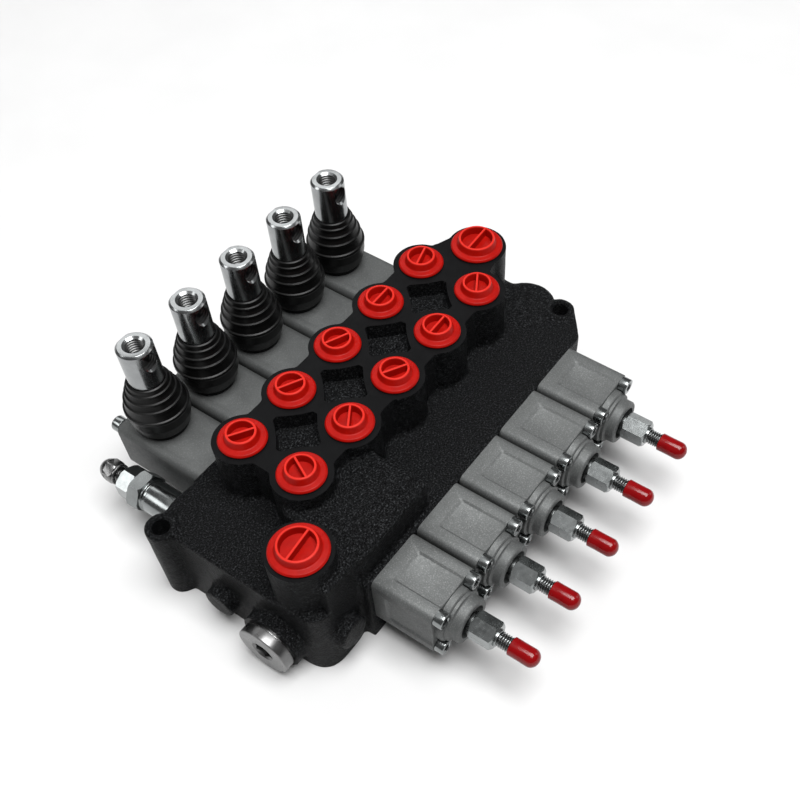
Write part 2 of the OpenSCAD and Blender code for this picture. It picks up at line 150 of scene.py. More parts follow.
def lathe(bm, profile, where, segments=72, loop=False):
    """A solid of revolution: profile is (radius, height) from its low end to its high end."""
    rings = []
    for r, h in profile:
        if r < 1e-6:
            rings.append([bm.verts.new(where @ Vector((0, 0, h)))])
        else:
            rings.append([bm.verts.new(where @ Vector((r * math.cos(a), r * math.sin(a), h)))
                          for a in (TAU * k / segments for k in range(segments))])
    if not loop:
        for end in (0, -1):
            if len(rings[end]) > 1:
                bm.faces.new(rings[end])
    pairs = list(zip(rings, rings[1:])) + ([(rings[-1], rings[0])] if loop else [])
    for low, high in pairs:
        for k in range(segments):
            n = (k + 1) % segments
            corners = []
            for v in (low[k % len(low)], low[n % len(low)], high[n % len(high)], high[k % len(high)]):
                if v not in corners:
                    corners.append(v)
            if len(corners) > 2:
                bm.faces.new(corners)


def prism(bm, outline, low, high, where=Matrix.Identity(4), shrink=1.0):
    """A solid on an outline in its local XY; its high end is scaled by shrink."""
    bottom = [bm.verts.new(where @ Vector((x, y, low))) for x, y in outline]
    upper = [bm.verts.new(where @ Vector((x * shrink, y * shrink, high))) for x, y in outline]
    count = len(outline)
    bm.faces.new(bottom[::-1])
    bm.faces.new(upper)
    for k in range(count):
        n = (k + 1) % count
        bm.faces.new((bottom[k], bottom[n], upper[n], upper[k]))


def rod(bm, r, low, high, where, segments=72):
    lathe(bm, [(r, low), (r, high)], where, segments)


def block(bm, x0, y0, z0, x1, y1, z1):
    prism(bm, [(x0, y0), (x1, y0), (x1, y1), (x0, y1)], z0, z1)


def round_block(bm, x0, y0, z0, x1, y1, z1, r):
    """A block with its four upright edges rounded."""
    outline = softened([(x0, y0, r), (x1, y0, r), (x1, y1, r), (x0, y1, r)], 8, closed=True)
    prism(bm, outline, z0, z1)


def hexagon(flats, spin=0.0):
    """Outline of a hexagon, from its width across the flats."""
    r = flats / 2 / math.cos(math.pi / 6)
    return [(r * math.cos(a), r * math.sin(a))
            for a in (math.radians(spin) + TAU * k / 6 for k in range(6))]


def skin(bm, rings):
    """Closes the first and the last ring and joins every ring to the next."""
    bm.faces.new(rings[0])
    bm.faces.new(rings[-1])
    for one, two in zip(rings, rings[1:]):
        for k in range(len(one)):
            n = (k + 1) % len(one)
            bm.faces.new((one[k], one[n], two[n], two[k]))


def thread(bm, r_major, depth, pitch, low, high, where, segments=40, per_turn=8):
    """A closed rod with a helical thread on it, its two ends flat."""
    rows = max(2, round((high - low) / pitch * per_turn))
    rings = []
    for j in range(rows + 1):
        h = low + (high - low) * j / rows
        fade = min(1.0, (h - low) / pitch * 2, (high - h) / pitch * 2)
        ring = []
        for k in range(segments):
            phase = (h / pitch - k / segments) % 1.0
            wave = min(1.0, max(0.0, 1.6 * abs(2 * phase - 1) - 0.3))    # flat crests and roots
            r = r_major - depth + depth * wave * fade
            a = TAU * k / segments
            ring.append(bm.verts.new(where @ Vector((r * math.cos(a), r * math.sin(a), h))))
        rings.append(ring)
    skin(bm, rings)


def solid(shape, *args, **options):
    bm = bmesh.new()
    shape(bm, *args, **options)
    return bm


def linked(bm, name):
    """Turns a bmesh into an object in the scene."""
    mesh = bpy.data.meshes.new(name)
    bm.to_mesh(mesh)
    bm.free()
    obj = bpy.data.objects.new(name, mesh)
    bpy.context.collection.objects.link(obj)
    return obj


def finish_mesh(bm, name):
    """Turns a bmesh in mm into an object in metres, its faces looking outwards."""
    bmesh.ops.recalc_face_normals(bm, faces=bm.faces)
    bmesh.ops.scale(bm, vec=(MM, MM, MM), verts=bm.verts)
    return linked(bm, name)


def discard(obj):
    mesh = obj.data
    bpy.data.objects.remove(obj)
    bpy.data.meshes.remove(mesh)


def bake(obj):
    """Applies an object's modifiers to its mesh."""
    graph = bpy.context.evaluated_depsgraph_get()
    mesh = bpy.data.meshes.new_from_object(obj.evaluated_get(graph), depsgraph=graph)
    old = obj.data
    obj.modifiers.clear()
    obj.data = mesh
    bpy.data.meshes.remove(old)


def combine(obj, bm, operation="DIFFERENCE"):
    """Cuts, joins or intersects an object with a solid, which is used up."""
    tool = finish_mesh(bm, "tool")
    change = obj.modifiers.new("change", "BOOLEAN")
    change.operation = operation
    change.solver = "MANIFOLD"
    change.object = tool
    bake(obj)
    discard(tool)


def crisp(obj, width=0.0, angle=32, segments=2):
    """Merges flat faces, rounds the sharp edges by width in mm and shades the rest smooth."""
    bm = bmesh.new()
    bm.from_mesh(obj.data)
    bmesh.ops.remove_doubles(bm, verts=bm.verts, dist=1e-6)
    bmesh.ops.dissolve_limit(bm, angle_limit=math.radians(1), verts=bm.verts, edges=bm.edges)
    bm.to_mesh(obj.data)
    bm.free()
    if width:
        bevel = obj.modifiers.new("edges", "BEVEL")
        bevel.width = width * MM
        bevel.segments = segments
        bevel.limit_method = "ANGLE"
        bevel.angle_limit = math.radians(angle)
        bake(obj)
    shade(obj, 40)


def shade(obj, angle):
    """Smooth shading, with edges sharper than angle kept sharp."""
    obj.data.shade_smooth()
    obj.data.set_sharp_from_angle(angle=math.radians(angle))


def repeated(obj, name, places):
    """One object that holds a copy of obj's mesh at each place (matrices in mm), and removes obj."""
    bm = bmesh.new()
    for where in places:
        scaled = Matrix.Scale(MM, 4) @ where @ Matrix.Scale(1 / MM, 4)
        mesh = obj.data.copy()
        mesh.transform(scaled)
        bm.from_mesh(mesh)
        bpy.data.meshes.remove(mesh)
    discard(obj)
    return linked(bm, name)


def two_tone(obj, main, second, chosen):
    """Gives the faces whose centre, in mm, is chosen the second material, and the rest the main one."""
    obj.data.materials.clear()
    obj.data.materials.append(main)
    obj.data.materials.append(second)
    for face in obj.data.polygons:
        face.material_index = int(chosen(face.center / MM))


def stands_for(obj, body, slot, material, *nodes):
    """Gives a piece its material and body, in place of the CAD nodes that it shows in detail."""
    if material:
        obj.data.materials.clear()
        obj.data.materials.append(material)
    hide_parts(*nodes)
    if body:
        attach(obj, body)


# ---------------------------------------------------------------- materials

MIX_INPUTS = (0, 6, 7)   # a colour mix node's factor and its two colours
MIX_COLOUR_OUTPUT = 2
NOISE_SPAN = (0.3, 0.7)  # nearly all of a noise's values lie between these


class Paint:
    """A node material built step by step on object coordinates in metres."""

    def __init__(self, name, **sockets):
        self.material = bpy.data.materials.new(name)
        self.material.use_nodes = True
        self.tree = self.material.node_tree
        self.shader = self.tree.nodes["Principled BSDF"]
        self.coords = self.tree.nodes.new("ShaderNodeTexCoord").outputs["Object"]
        self.height = None
        for key, value in sockets.items():
            self.shader.inputs[key.replace("_", " ")].default_value = value

    def feed(self, socket, value):
        """Links an input to another node's output, or gives it a constant."""
        if hasattr(value, "is_output"):
            self.tree.links.new(value, socket)
        else:
            socket.default_value = value

    def node(self, kind, **inputs):
        made = self.tree.nodes.new(kind)
        for key, value in inputs.items():
            self.feed(made.inputs[key.replace("_", " ")], value)
        return made

    def noise(self, size_mm, detail=2.0, roughness=0.55, stretch=(1, 1, 1)):
        """Noise with features of about size_mm."""
        mapped = self.node("ShaderNodeMapping", Vector=self.coords, Scale=stretch)
        return self.node("ShaderNodeTexNoise", Vector=mapped.outputs[0], Scale=1 / (size_mm * MM),
                         Detail=detail, Roughness=roughness).outputs[0]

    def cells(self, size_mm):
        """Rounded dimples of about size_mm."""
        return self.node("ShaderNodeTexVoronoi", Vector=self.coords,
                         Scale=1 / (size_mm * MM)).outputs["Distance"]

    def ramp(self, factor, *stops):
        """A colour ramp: stops are (position, colour)."""
        made = self.node("ShaderNodeValToRGB", Fac=factor)
        points = made.color_ramp.elements
        while len(points) < len(stops):
            points.new(0.5)
        for point, (position, colour) in zip(points, stops):
            point.position = position
            point.color = (*colour, 1)
        return made.outputs[0]

    def range(self, value, low, high, new_low, new_high):
        made = self.node("ShaderNodeMapRange", Value=value)
        for key, number in (("From Min", low), ("From Max", high), ("To Min", new_low), ("To Max", new_high)):
            made.inputs[key].default_value = number
        return made.outputs[0]

    def colour(self, socket):
        self.tree.links.new(socket, self.shader.inputs["Base Color"])

    def rough(self, socket):
        self.tree.links.new(socket, self.shader.inputs["Roughness"])

    def uneven_gloss(self, size_mm, low, high):
        """Roughness that wanders between two values in patches of about size_mm."""
        self.rough(self.range(self.noise(size_mm, 3), *NOISE_SPAN, low, high))

    def mix(self, factor, one, two, blend="MIX"):
        """Two colours mixed; factor and the second colour are a socket or a constant."""
        made = self.node("ShaderNodeMix")
        made.data_type = "RGBA"
        made.blend_type = blend
        for index, value in zip(MIX_INPUTS, (factor, one, two)):
            self.feed(made.inputs[index], value)
        return made.outputs[MIX_COLOUR_OUTPUT]

    def bump(self, height, depth_mm):
        """Adds relief: height from 0 to 1 stands for depth_mm."""
        made = self.node("ShaderNodeBump", Height=height, Distance=depth_mm * MM, Strength=1.0)
        if self.height:
            self.tree.links.new(self.height, made.inputs["Normal"])
        self.height = made.outputs[0]
        self.tree.links.new(self.height, self.shader.inputs["Normal"])


def grey(value):
    return (value, value, value)


def cast_paint():
    """Semi-gloss black paint over sand-cast grain."""
    p = Paint("cast_iron_black", Metallic=0.0, Specular_IOR_Level=0.05)
    grain = p.noise(0.8, 4, 0.66)
    p.colour(p.ramp(grain, (0.44, (0.0016, 0.0017, 0.0019)), (0.56, (0.010, 0.0104, 0.011)),
                    (0.68, (0.052, 0.055, 0.058))))
    p.rough(p.range(grain, 0.3, 0.75, 0.26, 0.40))
    p.bump(p.noise(7, 2), 0.25)
    p.bump(grain, 0.85)
    p.bump(p.cells(0.9), 0.20)
    return p.material


def machined_paint():
    """The same paint on a milled face: smoother, with faint cutter marks."""
    p = Paint("cast_iron_black_machined", Metallic=0.0, Specular_IOR_Level=0.06)
    patches = p.noise(9, 3)
    p.colour(p.ramp(patches, (0.3, (0.0030, 0.0031, 0.0034)), (0.75, (0.0048, 0.0050, 0.0054))))
    p.uneven_gloss(2.2, 0.40, 0.50)
    p.bump(p.noise(1.4, 3), 0.03)
    p.bump(p.noise(0.5, 1, stretch=(1, 0.03, 1)), 0.006)
    return p.material


def die_cast(name, tone, grain_mm, depth, speck):
    """Blasted or as-cast aluminium with fine grain and scattered bright specks."""
    p = Paint(name, Metallic=0.45, Specular_IOR_Level=0.25)
    low, high = tone * 0.9, tone * 1.08
    patches = p.ramp(p.noise(16, 3), (0.3, (low * 0.97, low * 1.01, low)),
                     (0.72, (high * 0.97, high * 1.01, high)))
    specks = p.ramp(p.noise(0.6, 2), (0.52, grey(0.0)), (0.78, grey(speck)))
    p.colour(p.mix(1.0, patches, specks, "ADD"))
    p.uneven_gloss(1.6, 0.46, 0.60)
    p.bump(p.noise(grain_mm, 3, 0.6), depth)
    p.bump(p.noise(9, 2), 0.10)
    return p.material


def plated(name, tone, rough, marks=(1, 1, 1), tint=(1.0, 1.0, 1.0), depth=0.0008):
    """Zinc-plated or ground steel: metal with fine marks and slightly uneven gloss."""
    p = Paint(name, Metallic=1.0)
    clouds = p.noise(6, 2)
    dark = tuple(tone * 0.90 * c for c in tint)
    light = tuple(min(1.0, tone * 1.08) * c for c in tint)
    p.colour(p.ramp(clouds, (0.3, dark), (0.7, light)))
    p.uneven_gloss(2.5, rough * 0.85, rough * 1.2)
    p.bump(p.noise(0.6, 2, stretch=marks), depth)
    return p.material


def polyethylene():
    """Soft waxy red plastic, with painted light: paler along the tops of the thin rims and bars, a painted
    glow of light shining through them.
    """
    p = Paint("red_plastic", Specular_IOR_Level=0.12, Subsurface_Weight=0.05, Subsurface_Scale=0.001)
    p.shader.inputs["Subsurface Radius"].default_value = (1.0, 0.12, 0.06)
    tone = p.ramp(p.noise(6, 3), (0.3, (0.27, 0.0026, 0.0010)), (0.75, (0.35, 0.0042, 0.0016)))
    # Painted light: the top 0.6 mm of the cup rims and bars is mixed towards a paler red, a painted glow of
    # light through the thin plastic.
    height = p.node("ShaderNodeSeparateXYZ", Vector=p.coords).outputs["Z"]
    painted_glow = p.range(height, (PORT_Z + 5.1) * MM, (PORT_Z + 5.7) * MM, 0.0, 0.8)
    p.colour(p.mix(painted_glow, tone, (0.60, 0.024, 0.015, 1)))
    p.uneven_gloss(2.5, 0.34, 0.46)
    p.bump(p.noise(4, 2), 0.05)
    p.bump(p.noise(0.5, 2), 0.008)
    return p.material


def dipped_vinyl():
    p = Paint("red_vinyl", Specular_IOR_Level=0.34)
    p.colour(p.ramp(p.noise(5, 3), (0.3, (0.17, 0.0006, 0.0016)), (0.75, (0.22, 0.0010, 0.0024))))
    p.uneven_gloss(2, 0.14, 0.20)
    p.bump(p.noise(4, 2), 0.03)
    return p.material


def rubber(name, rough):
    p = Paint(name, Specular_IOR_Level=0.22)
    p.colour(p.ramp(p.noise(4, 3), (0.3, grey(0.0022)), (0.75, grey(0.0040))))
    p.uneven_gloss(1.5, rough * 0.85, rough * 1.15)
    p.bump(p.noise(0.6, 3), 0.03)
    p.bump(p.noise(5, 2), 0.08)
    return p.material


CAST = cast_paint()
MACHINED = machined_paint()
HOUSING = die_cast("housing_aluminium", 0.092, 1.1, 0.06, 0.05)
CAP = die_cast("cap_aluminium", 0.110, 0.7, 0.12, 0.10)
ZINC = plated("zinc_plated", 0.29, 0.20, marks=(1, 0.2, 1), tint=(0.95, 1.0, 1.0))
ZINC_STUD = plated("zinc_plated_stud", 0.31, 0.24, marks=(1, 0.2, 1), tint=(0.95, 1.0, 1.0), depth=0.0003)
ZINC_PIN = plated("zinc_plated_pin", 0.34, 0.22, marks=(0.15, 0.15, 1), tint=(0.96, 0.99, 1.0))
# Darker, rougher steel used as painted shade in the thread roots and inside the tapped holes.
BORE_PAINTED_SHADE = plated("bore_painted_shade", 0.12, 0.34)
GROUND = plated("ground_steel", 0.17, 0.30)
DARK = plated("dark_zinc", 0.18, 0.26, depth=0.0004)
STEEL = plated("steel", 0.55, 0.24)
WIRE = plated("spring_steel", 0.32, 0.30)
RED = polyethylene()
VINYL = dipped_vinyl()
BOOT = rubber("boot_rubber", 0.34)
SEAL = rubber("seal_rubber", 0.45)

# ---------------------------------------------------------------- the casting

CAST_CELL = 0.9          # size of the mesh cells that the casting is grown from
CAST_SMOOTH = 9          # rounds of smoothing: they make the fillets and the rounded edges
STOCK = 3                # metal left on the machined faces
INSIDE_Z = 30            # upper solids start here, inside the main block
PORT_BOSS_R = 15
END_PORT_BOSS_R = 16
LUG_R = 8
SIDE_BOSSES = [          # radius, its two ends along the axis, a point on the axis, the axis
    (16.5, NEAR_FACE_X - STOCK, -105, (0, PRESSURE_Y, GALLERY_Z), "+x"),     # under the inlet end plug
    (8.5, NEAR_FACE_X, -110, (0, 12, 20), "+x"),                             # blind boss beside it
    (9, -SIDE_Y - 0.5, -40, (-105, 0, 24), "+y"),                            # blind boss on the cap side
    (13, 40, SIDE_Y + 2, (RELIEF_X, 0, RELIEF_Z), "+y"),                     # round the relief valve
    (15, 100, 118, (0, TANK_Y, GALLERY_Z), "+x"),                            # under the outlet end plug
]


def cast_block(bm):
    """The main block: a rounded inlet end, the middle, and an outlet end with a slanted corner."""
    low = -STOCK
    round_block(bm, -122, -SIDE_Y + 5, low, -86, SIDE_Y, LEDGE_Z, 14)
    block(bm, -92, -SIDE_Y, low, 97, SIDE_Y, LEDGE_Z)
    prism(bm, softened([(80, -SIDE_Y), (98, -SIDE_Y, 4), (115, -41, 12), (113, 0, 20),
                        (113, SIDE_Y, 5), (80, SIDE_Y)], closed=True), low, LEDGE_Z)
    block(bm, -118, 36, low, -88, SIDE_Y - 1, LEDGE_Z)
    rod(bm, 17, low, LEDGE_Z + 0.5, place((103, -16, 0)))


def cast_tower(bm):
    """The port tower: bosses round the work ports and the outlet, joined by webs."""
    high = PORT_Z + STOCK
    last_x = STATION_X[-1]
    for x in STATION_X:
        for y in (ROW_A, ROW_B):
            rod(bm, PORT_BOSS_R, INSIDE_Z, high, place((x, y, 0)))
    block(bm, -last_x, ROW_B - 8, INSIDE_Z, last_x, ROW_A + 8, high)
    block(bm, -last_x - 8, ROW_B, INSIDE_Z, -last_x + 2, ROW_A, high)
    rod(bm, END_PORT_BOSS_R, INSIDE_Z, high, place((*OUTLET, 0)))
    prism(bm, [(last_x, ROW_B - 9), (last_x + 14, ROW_B + 2), (OUTLET[0] + 8, 2), (OUTLET[0] + 4, 28),
               (last_x + 12, ROW_A + 4), (last_x, ROW_A + 9)], INSIDE_Z, high)


def cast_platform(bm):
    """The stepped platform and the inlet column at its corner."""
    round_block(bm, -90, -SIDE_Y + 3, INSIDE_Z, -38, ROW_B, FLOOR_Z, 3)
    block(bm, -112, -SIDE_Y + 5, INSIDE_Z, -72, -SIDE_Y + 17, FLOOR_Z)
    rod(bm, END_PORT_BOSS_R, -STOCK, PORT_Z + STOCK, place((*INLET, 0)))


def cast_bosses(bm):
    """Round bosses on the end faces and sides, and the mounting lugs."""
    for r, start, end, spot, axis in SIDE_BOSSES:
        rod(bm, r, start, end, place(spot, axis))
    for x, y in LUGS:
        rod(bm, LUG_R, -STOCK, LEDGE_Z + 2, place((x, y, 0)))


def rough_casting(bm):
    """The casting as overlapping solids, with stock left on the machined faces."""
    cast_block(bm)
    cast_tower(bm)
    cast_platform(bm)
    cast_bosses(bm)


FAR_X, FAR_Y, CUT = 140, 70, 20      # past the casting on every side, and how much the cutters clear
PAST = 5                             # how far a drill or a pocket cutter stands out of its face


def machining(bm):
    """What the cutters take off: above the port faces, below the mounting face, past the inlet end."""
    block(bm, -FAR_X, -FAR_Y, PORT_Z, FAR_X, FAR_Y, PORT_Z + CUT)
    block(bm, -FAR_X, -FAR_Y, -CUT, FAR_X, FAR_Y, 0)
    block(bm, NEAR_FACE_X - CUT, -45, 1, NEAR_FACE_X, 2, 45)


POCKET_REACH = 13.8      # from the middle of a pocket to its points
POCKET_TIP = 1.3         # half the width of a point
POCKET_WAIST = 6.6       # how far the drawn-in sides stay from both axes
POCKET_STEPS = 6
POCKET_POINT_R = 1.2


def pocket_outline():
    """Four-pointed pocket: a square set on its corner, its sides drawn in towards the middle."""
    start, end = Vector((POCKET_REACH, POCKET_TIP)), Vector((POCKET_TIP, POCKET_REACH))
    waist = Vector((POCKET_WAIST, POCKET_WAIST))
    corners = []
    for quarter in range(4):
        turn = Matrix.Rotation(math.radians(90 * quarter), 2)
        for step in range(POCKET_STEPS + 1):
            t = step / POCKET_STEPS
            side = start * (1 - t) ** 2 + waist * 2 * t * (1 - t)
            corner = tuple(turn @ (side + end * t ** 2))
            corners.append((*corner, POCKET_POINT_R) if step in (0, POCKET_STEPS) else corner)
    return softened(corners, 5, closed=True)


def pockets(bm):
    for x in STATION_X[:-1]:
        prism(bm, pocket_outline(), FLOOR_Z, PORT_Z + PAST, place((x + PITCH / 2, (ROW_A + ROW_B) / 2, 0)))


WORK_PORT_R, WORK_PORT_DEPTH = 7.7, 16
END_PORT_R, END_PORT_DEPTH = 9.7, 18
MOUNT_HOLE_R, MOUNT_CHAMFER_R = 4.5, 6.4


def drilled(bm):
    """Port bores and mounting holes."""
    for x in STATION_X:
        for y in (ROW_A, ROW_B):
            rod(bm, WORK_PORT_R, PORT_Z - WORK_PORT_DEPTH, PORT_Z + PAST, place((x, y, 0)))
    for spot in (INLET, OUTLET):
        rod(bm, END_PORT_R, PORT_Z - END_PORT_DEPTH, PORT_Z + PAST, place((*spot, 0)))
    hole = [(MOUNT_HOLE_R, -PAST), (MOUNT_HOLE_R, LEDGE_Z + 0.9), (MOUNT_CHAMFER_R, LEDGE_Z + 2.8),
            (MOUNT_CHAMFER_R, LEDGE_Z + PAST)]
    for x, y in LUGS:
        lathe(bm, hole, place((x, y, 0)), 48)


SPOOL_BORE_R = 8.03
SEAL_RECESS_R, SEAL_RECESS_DEPTH = 10.5, 3
END_PLUG_HOLE_R, RELIEF_HOLE_R = 8.1, 7.05


def bored(bm):
    """Spool bores with their seal recesses, the end plug holes and the relief valve hole."""
    outer, inner = SIDE_Y + 1, SIDE_Y - SEAL_RECESS_DEPTH
    bore = [(SEAL_RECESS_R, -outer), (SEAL_RECESS_R, -inner), (SPOOL_BORE_R, -inner),
            (SPOOL_BORE_R, inner), (SEAL_RECESS_R, inner), (SEAL_RECESS_R, outer)]
    for x in STATION_X:
        lathe(bm, bore, place((x, 0, SPOOL_Z), "+y"), 48)
    rod(bm, END_PLUG_HOLE_R, NEAR_FACE_X - PAST, NEAR_FACE_X + 14, place((0, PRESSURE_Y, GALLERY_Z), "+x"))
    rod(bm, RELIEF_HOLE_R, 22, SIDE_Y + 6, place((RELIEF_X, 0, RELIEF_Z), "+y"))
    rod(bm, END_PLUG_HOLE_R, 107, 122, place((0, TANK_Y, GALLERY_Z), "+x"))


WAVES = ((6, 0.10), (2, 0.05))       # size and depth of the casting's unevenness
FLAT = 0.999             # a face that points this straight along an axis may be machined
NEAR_A_FACE = 0.05       # and it is, when it is this close to a machined face


def make_casting():
    """The casting: its solids grown into one skin, made slightly uneven, then machined."""
    body = finish_mesh(solid(rough_casting), "valve_casting")
    grow = body.modifiers.new("grow", "REMESH")
    grow.mode = "VOXEL"
    grow.voxel_size = CAST_CELL * MM
    relax = body.modifiers.new("relax", "SMOOTH")
    relax.factor = 0.5
    relax.iterations = CAST_SMOOTH
    bake(body)
    moves = [v.normal * sum(noise.noise(v.co / (size * MM)) * depth for size, depth in WAVES)
             for v in body.data.vertices]
    for v, move in zip(body.data.vertices, moves):
        v.co += move * MM
    for solids in (machining, pockets, drilled, bored):
        combine(body, solid(solids))
    body.data.materials.clear()
    body.data.materials.append(CAST)
    body.data.materials.append(MACHINED)
    for face in body.data.polygons:
        height = face.center.z / MM
        flat_top = face.normal.z > FLAT and height > PORT_Z - NEAR_A_FACE
        flat_end = face.normal.x < -FLAT and face.center.x / MM < NEAR_FACE_X + NEAR_A_FACE
        face.material_index = int(flat_top or flat_end or height < NEAR_A_FACE)
    shade(body, 35)
    stands_for(body, "valve", "cast_iron_black", None, "valve_body")


make_casting()

# ---------------------------------------------------------------- spring caps

CAP_HALF_W = 17.25
CAP_HALF_H = 17
CAP_CORNER_R = 4
SCREW_DX, SCREW_DZ = 12.5, 13
SCREW_POCKET_R = 4.75
# Turned boss on the end of a cap, and the bore behind it: radius, then distance along -Y
CAP_BOSS = [(0, -CAP_END - 2), (15, -CAP_END - 2), (15, 91.2, 0.5), (14.2, 91.8, 0.3), (13.6, 91.9),
            (13.6, 93.3, 0.4), (12.4, 93.7, 0.3), (12.1, 94.2, 0.3), (12, 98.2, 0.5), (11.5, 98.9, 0.3),
            (9.5, 99, 0.3), (0, 99)]
CAP_BORE = [(0, SIDE_Y - 1), (12, SIDE_Y - 1), (12, 84), (5.5, 84), (5.5, 90), (9, 90), (9, 105), (0, 105)]
PANEL_Y = -75.2          # middle of the shallow panels on a cap
PANEL_HALF_W, PANEL_HALF_L = 8.8, 12.6
PANEL_DEPTH, PANEL_FLARE = 0.9, 1.34         # the flare gives a panel its sloping walls


def rectangle(half_w, half_h, r, steps):
    """Outline of a rectangle round the origin, with rounded corners."""
    return softened([(-half_w, -half_h, r), (half_w, -half_h, r), (half_w, half_h, r), (-half_w, half_h, r)],
                    steps, closed=True)


def make_spring_cap(i, x):
    along = place((x, 0, SPOOL_Z), "-y")
    outline = rectangle(CAP_HALF_W, CAP_HALF_H, CAP_CORNER_R, 6)
    cap = finish_mesh(solid(prism, outline, SIDE_Y, -CAP_END, along), f"spring_cap_casting_{i}")
    combine(cap, solid(lathe, softened(CAP_BOSS, 4), along, 64), "UNION")
    screw_pockets = bmesh.new()
    for sx in (-1, 1):
        for sz in (-1, 1):
            rod(screw_pockets, SCREW_POCKET_R, -CAP_END, 96,
                place((x + sx * SCREW_DX, 0, SPOOL_Z + sz * SCREW_DZ), "-y"), 32)
    combine(cap, screw_pockets)
    combine(cap, solid(lathe, CAP_BORE, along, 64))
    # A shallow panel on the top and on both sides
    panel = rectangle(PANEL_HALF_W, PANEL_HALF_L, 1.5, 4)
    for spin, face in ((0, CAP_HALF_H), (90, CAP_HALF_W), (-90, CAP_HALF_W)):
        where = place((x, PANEL_Y, SPOOL_Z)) @ Matrix.Rotation(math.radians(spin), 4, "Y")
        combine(cap, solid(prism, panel, face - PANEL_DEPTH, face + 2 * PANEL_DEPTH, where,
                           shrink=PANEL_FLARE))
    crisp(cap, 0.3, 30, 3)
    stands_for(cap, "valve", "cap_aluminium", CAP, f"spring_cap_{i}")


at_each_station(make_spring_cap)

# ---------------------------------------------------------------- socket-head screws

HEAD_R, HEAD_H, SHANK_R = 4.25, 5, 2.5
HEX_KEY = 4              # across flats
CAP_SCREW_SHANK, HOUSING_SCREW_SHANK = 44, 66
HOUSING_SCREW_DX, HOUSING_SCREW_Z = 12.5, 43.5


def socket_screw(shank):
    """A cap screw with its seat at the origin and its head towards local +Z."""
    head = [(SHANK_R, -shank), (SHANK_R, 0), (HEAD_R, 0, 0.15), (HEAD_R, HEAD_H, 0.55),
            (2.7, HEAD_H, 0.1), (0, HEAD_H)]
    screw = finish_mesh(solid(lathe, [(0, -shank)] + softened(head, 4), place((0, 0, 0)), 40), "screw")
    combine(screw, solid(prism, hexagon(HEX_KEY), 2.2, 7))
    countersink = [(0, 4.4), (2.0, 4.4), (2.7, 5.1), (2.7, 6), (0, 6)]
    combine(screw, solid(lathe, countersink, place((0, 0, 0)), 40))
    shade(screw, 30)
    return screw


def make_screws(node, name, shank, seats):
    """All the screws of a CAD node as one object."""
    screws = repeated(socket_screw(shank), name, seats)
    shade(screws, 30)
    stands_for(screws, "valve", "zinc_plated", ZINC, node)


random.seed(7)           # each screw's socket stands at its own angle
make_screws("spring_cap_screws", "spring_cap_socket_screws", CAP_SCREW_SHANK,
            [place((x + sx * SCREW_DX, CAP_END, SPOOL_Z + sz * SCREW_DZ), "-y", random.uniform(0, 60))
             for x in STATION_X for sx in (-1, 1) for sz in (-1, 1)])
make_screws("lever_housing_screws", "lever_housing_socket_screws", HOUSING_SCREW_SHANK,
            [place((x + sx * HOUSING_SCREW_DX, HOUSING_END_EXACT, HOUSING_SCREW_Z), "+y",
                   random.uniform(0, 60))
             for x in STATION_X for sx in (-1, 1)])

# ---------------------------------------------------------------- spool ends

# Distances along -Y
HEX_START, HEX_END = 100.2, 113.3
STUD_COLLAR = [(0, 98.2), (5.9, 98.2, 0.4), (5.9, 100.4), (0, 100.4)]
STUD_SHOULDER = [(0, 113), (4.6, 113), (4.6, 114.3, 0.5), (3.4, 114.6), (0, 114.6)]
STUD_CHAMFERS = [(0, 100), (6.3, 100), (7.6, 101.1), (7.6, 112.0), (6.3, 113.4), (0, 113.4)]
THREAD_START, THREAD_END = 114.2, 132.2
SLEEVE_START, SLEEVE_END = 120.8, 136
HEX_FLATS = 13
THREAD_R, THREAD_DEPTH, THREAD_PITCH = 4.0, 0.75, 1.25
ROOT_R = 3.65            # the thread's roots below this radius are painted darker, as painted shade
TAIL_R = 4.05            # bore for the tail of the spool
SLEEVE_R, SLEEVE_BORE_R, DOME_H = 4.8, 4.06, 4.3


def quarter_arc(r, base, height):
    """Nine points of a dome's outline, between its foot and its tip."""
    angles = (math.pi / 2 * k / 10 for k in range(1, 10))
    return [(r * math.cos(a), base + height * math.sin(a)) for a in angles]


def make_stud(i, x):
    along = place((x, 0, SPOOL_Z), "-y")
    stud = finish_mesh(solid(prism, hexagon(HEX_FLATS, 30), HEX_START, HEX_END, along),
                       f"spool_stud_turned_{i}")
    combine(stud, solid(lathe, STUD_CHAMFERS, along, 64), "INTERSECT")
    for profile in (STUD_COLLAR, STUD_SHOULDER):
        combine(stud, solid(lathe, softened(profile), along, 48), "UNION")
    combine(stud, solid(thread, THREAD_R, THREAD_DEPTH, THREAD_PITCH, THREAD_START, THREAD_END, along),
            "UNION")
    combine(stud, solid(rod, TAIL_R, 97, 106.5, along, 40))
    crisp(stud)
    # The thread's roots take the darker steel: painted shade in the thread's grooves.
    two_tone(stud, ZINC_STUD, BORE_PAINTED_SHADE, lambda spot: spot.y < -THREAD_START - 0.5
             and math.hypot(spot.x - x, spot.z - SPOOL_Z) < ROOT_R)
    stands_for(stud, f"spool_set_{i}", "zinc_plated", None, f"spool_stud_{i}")


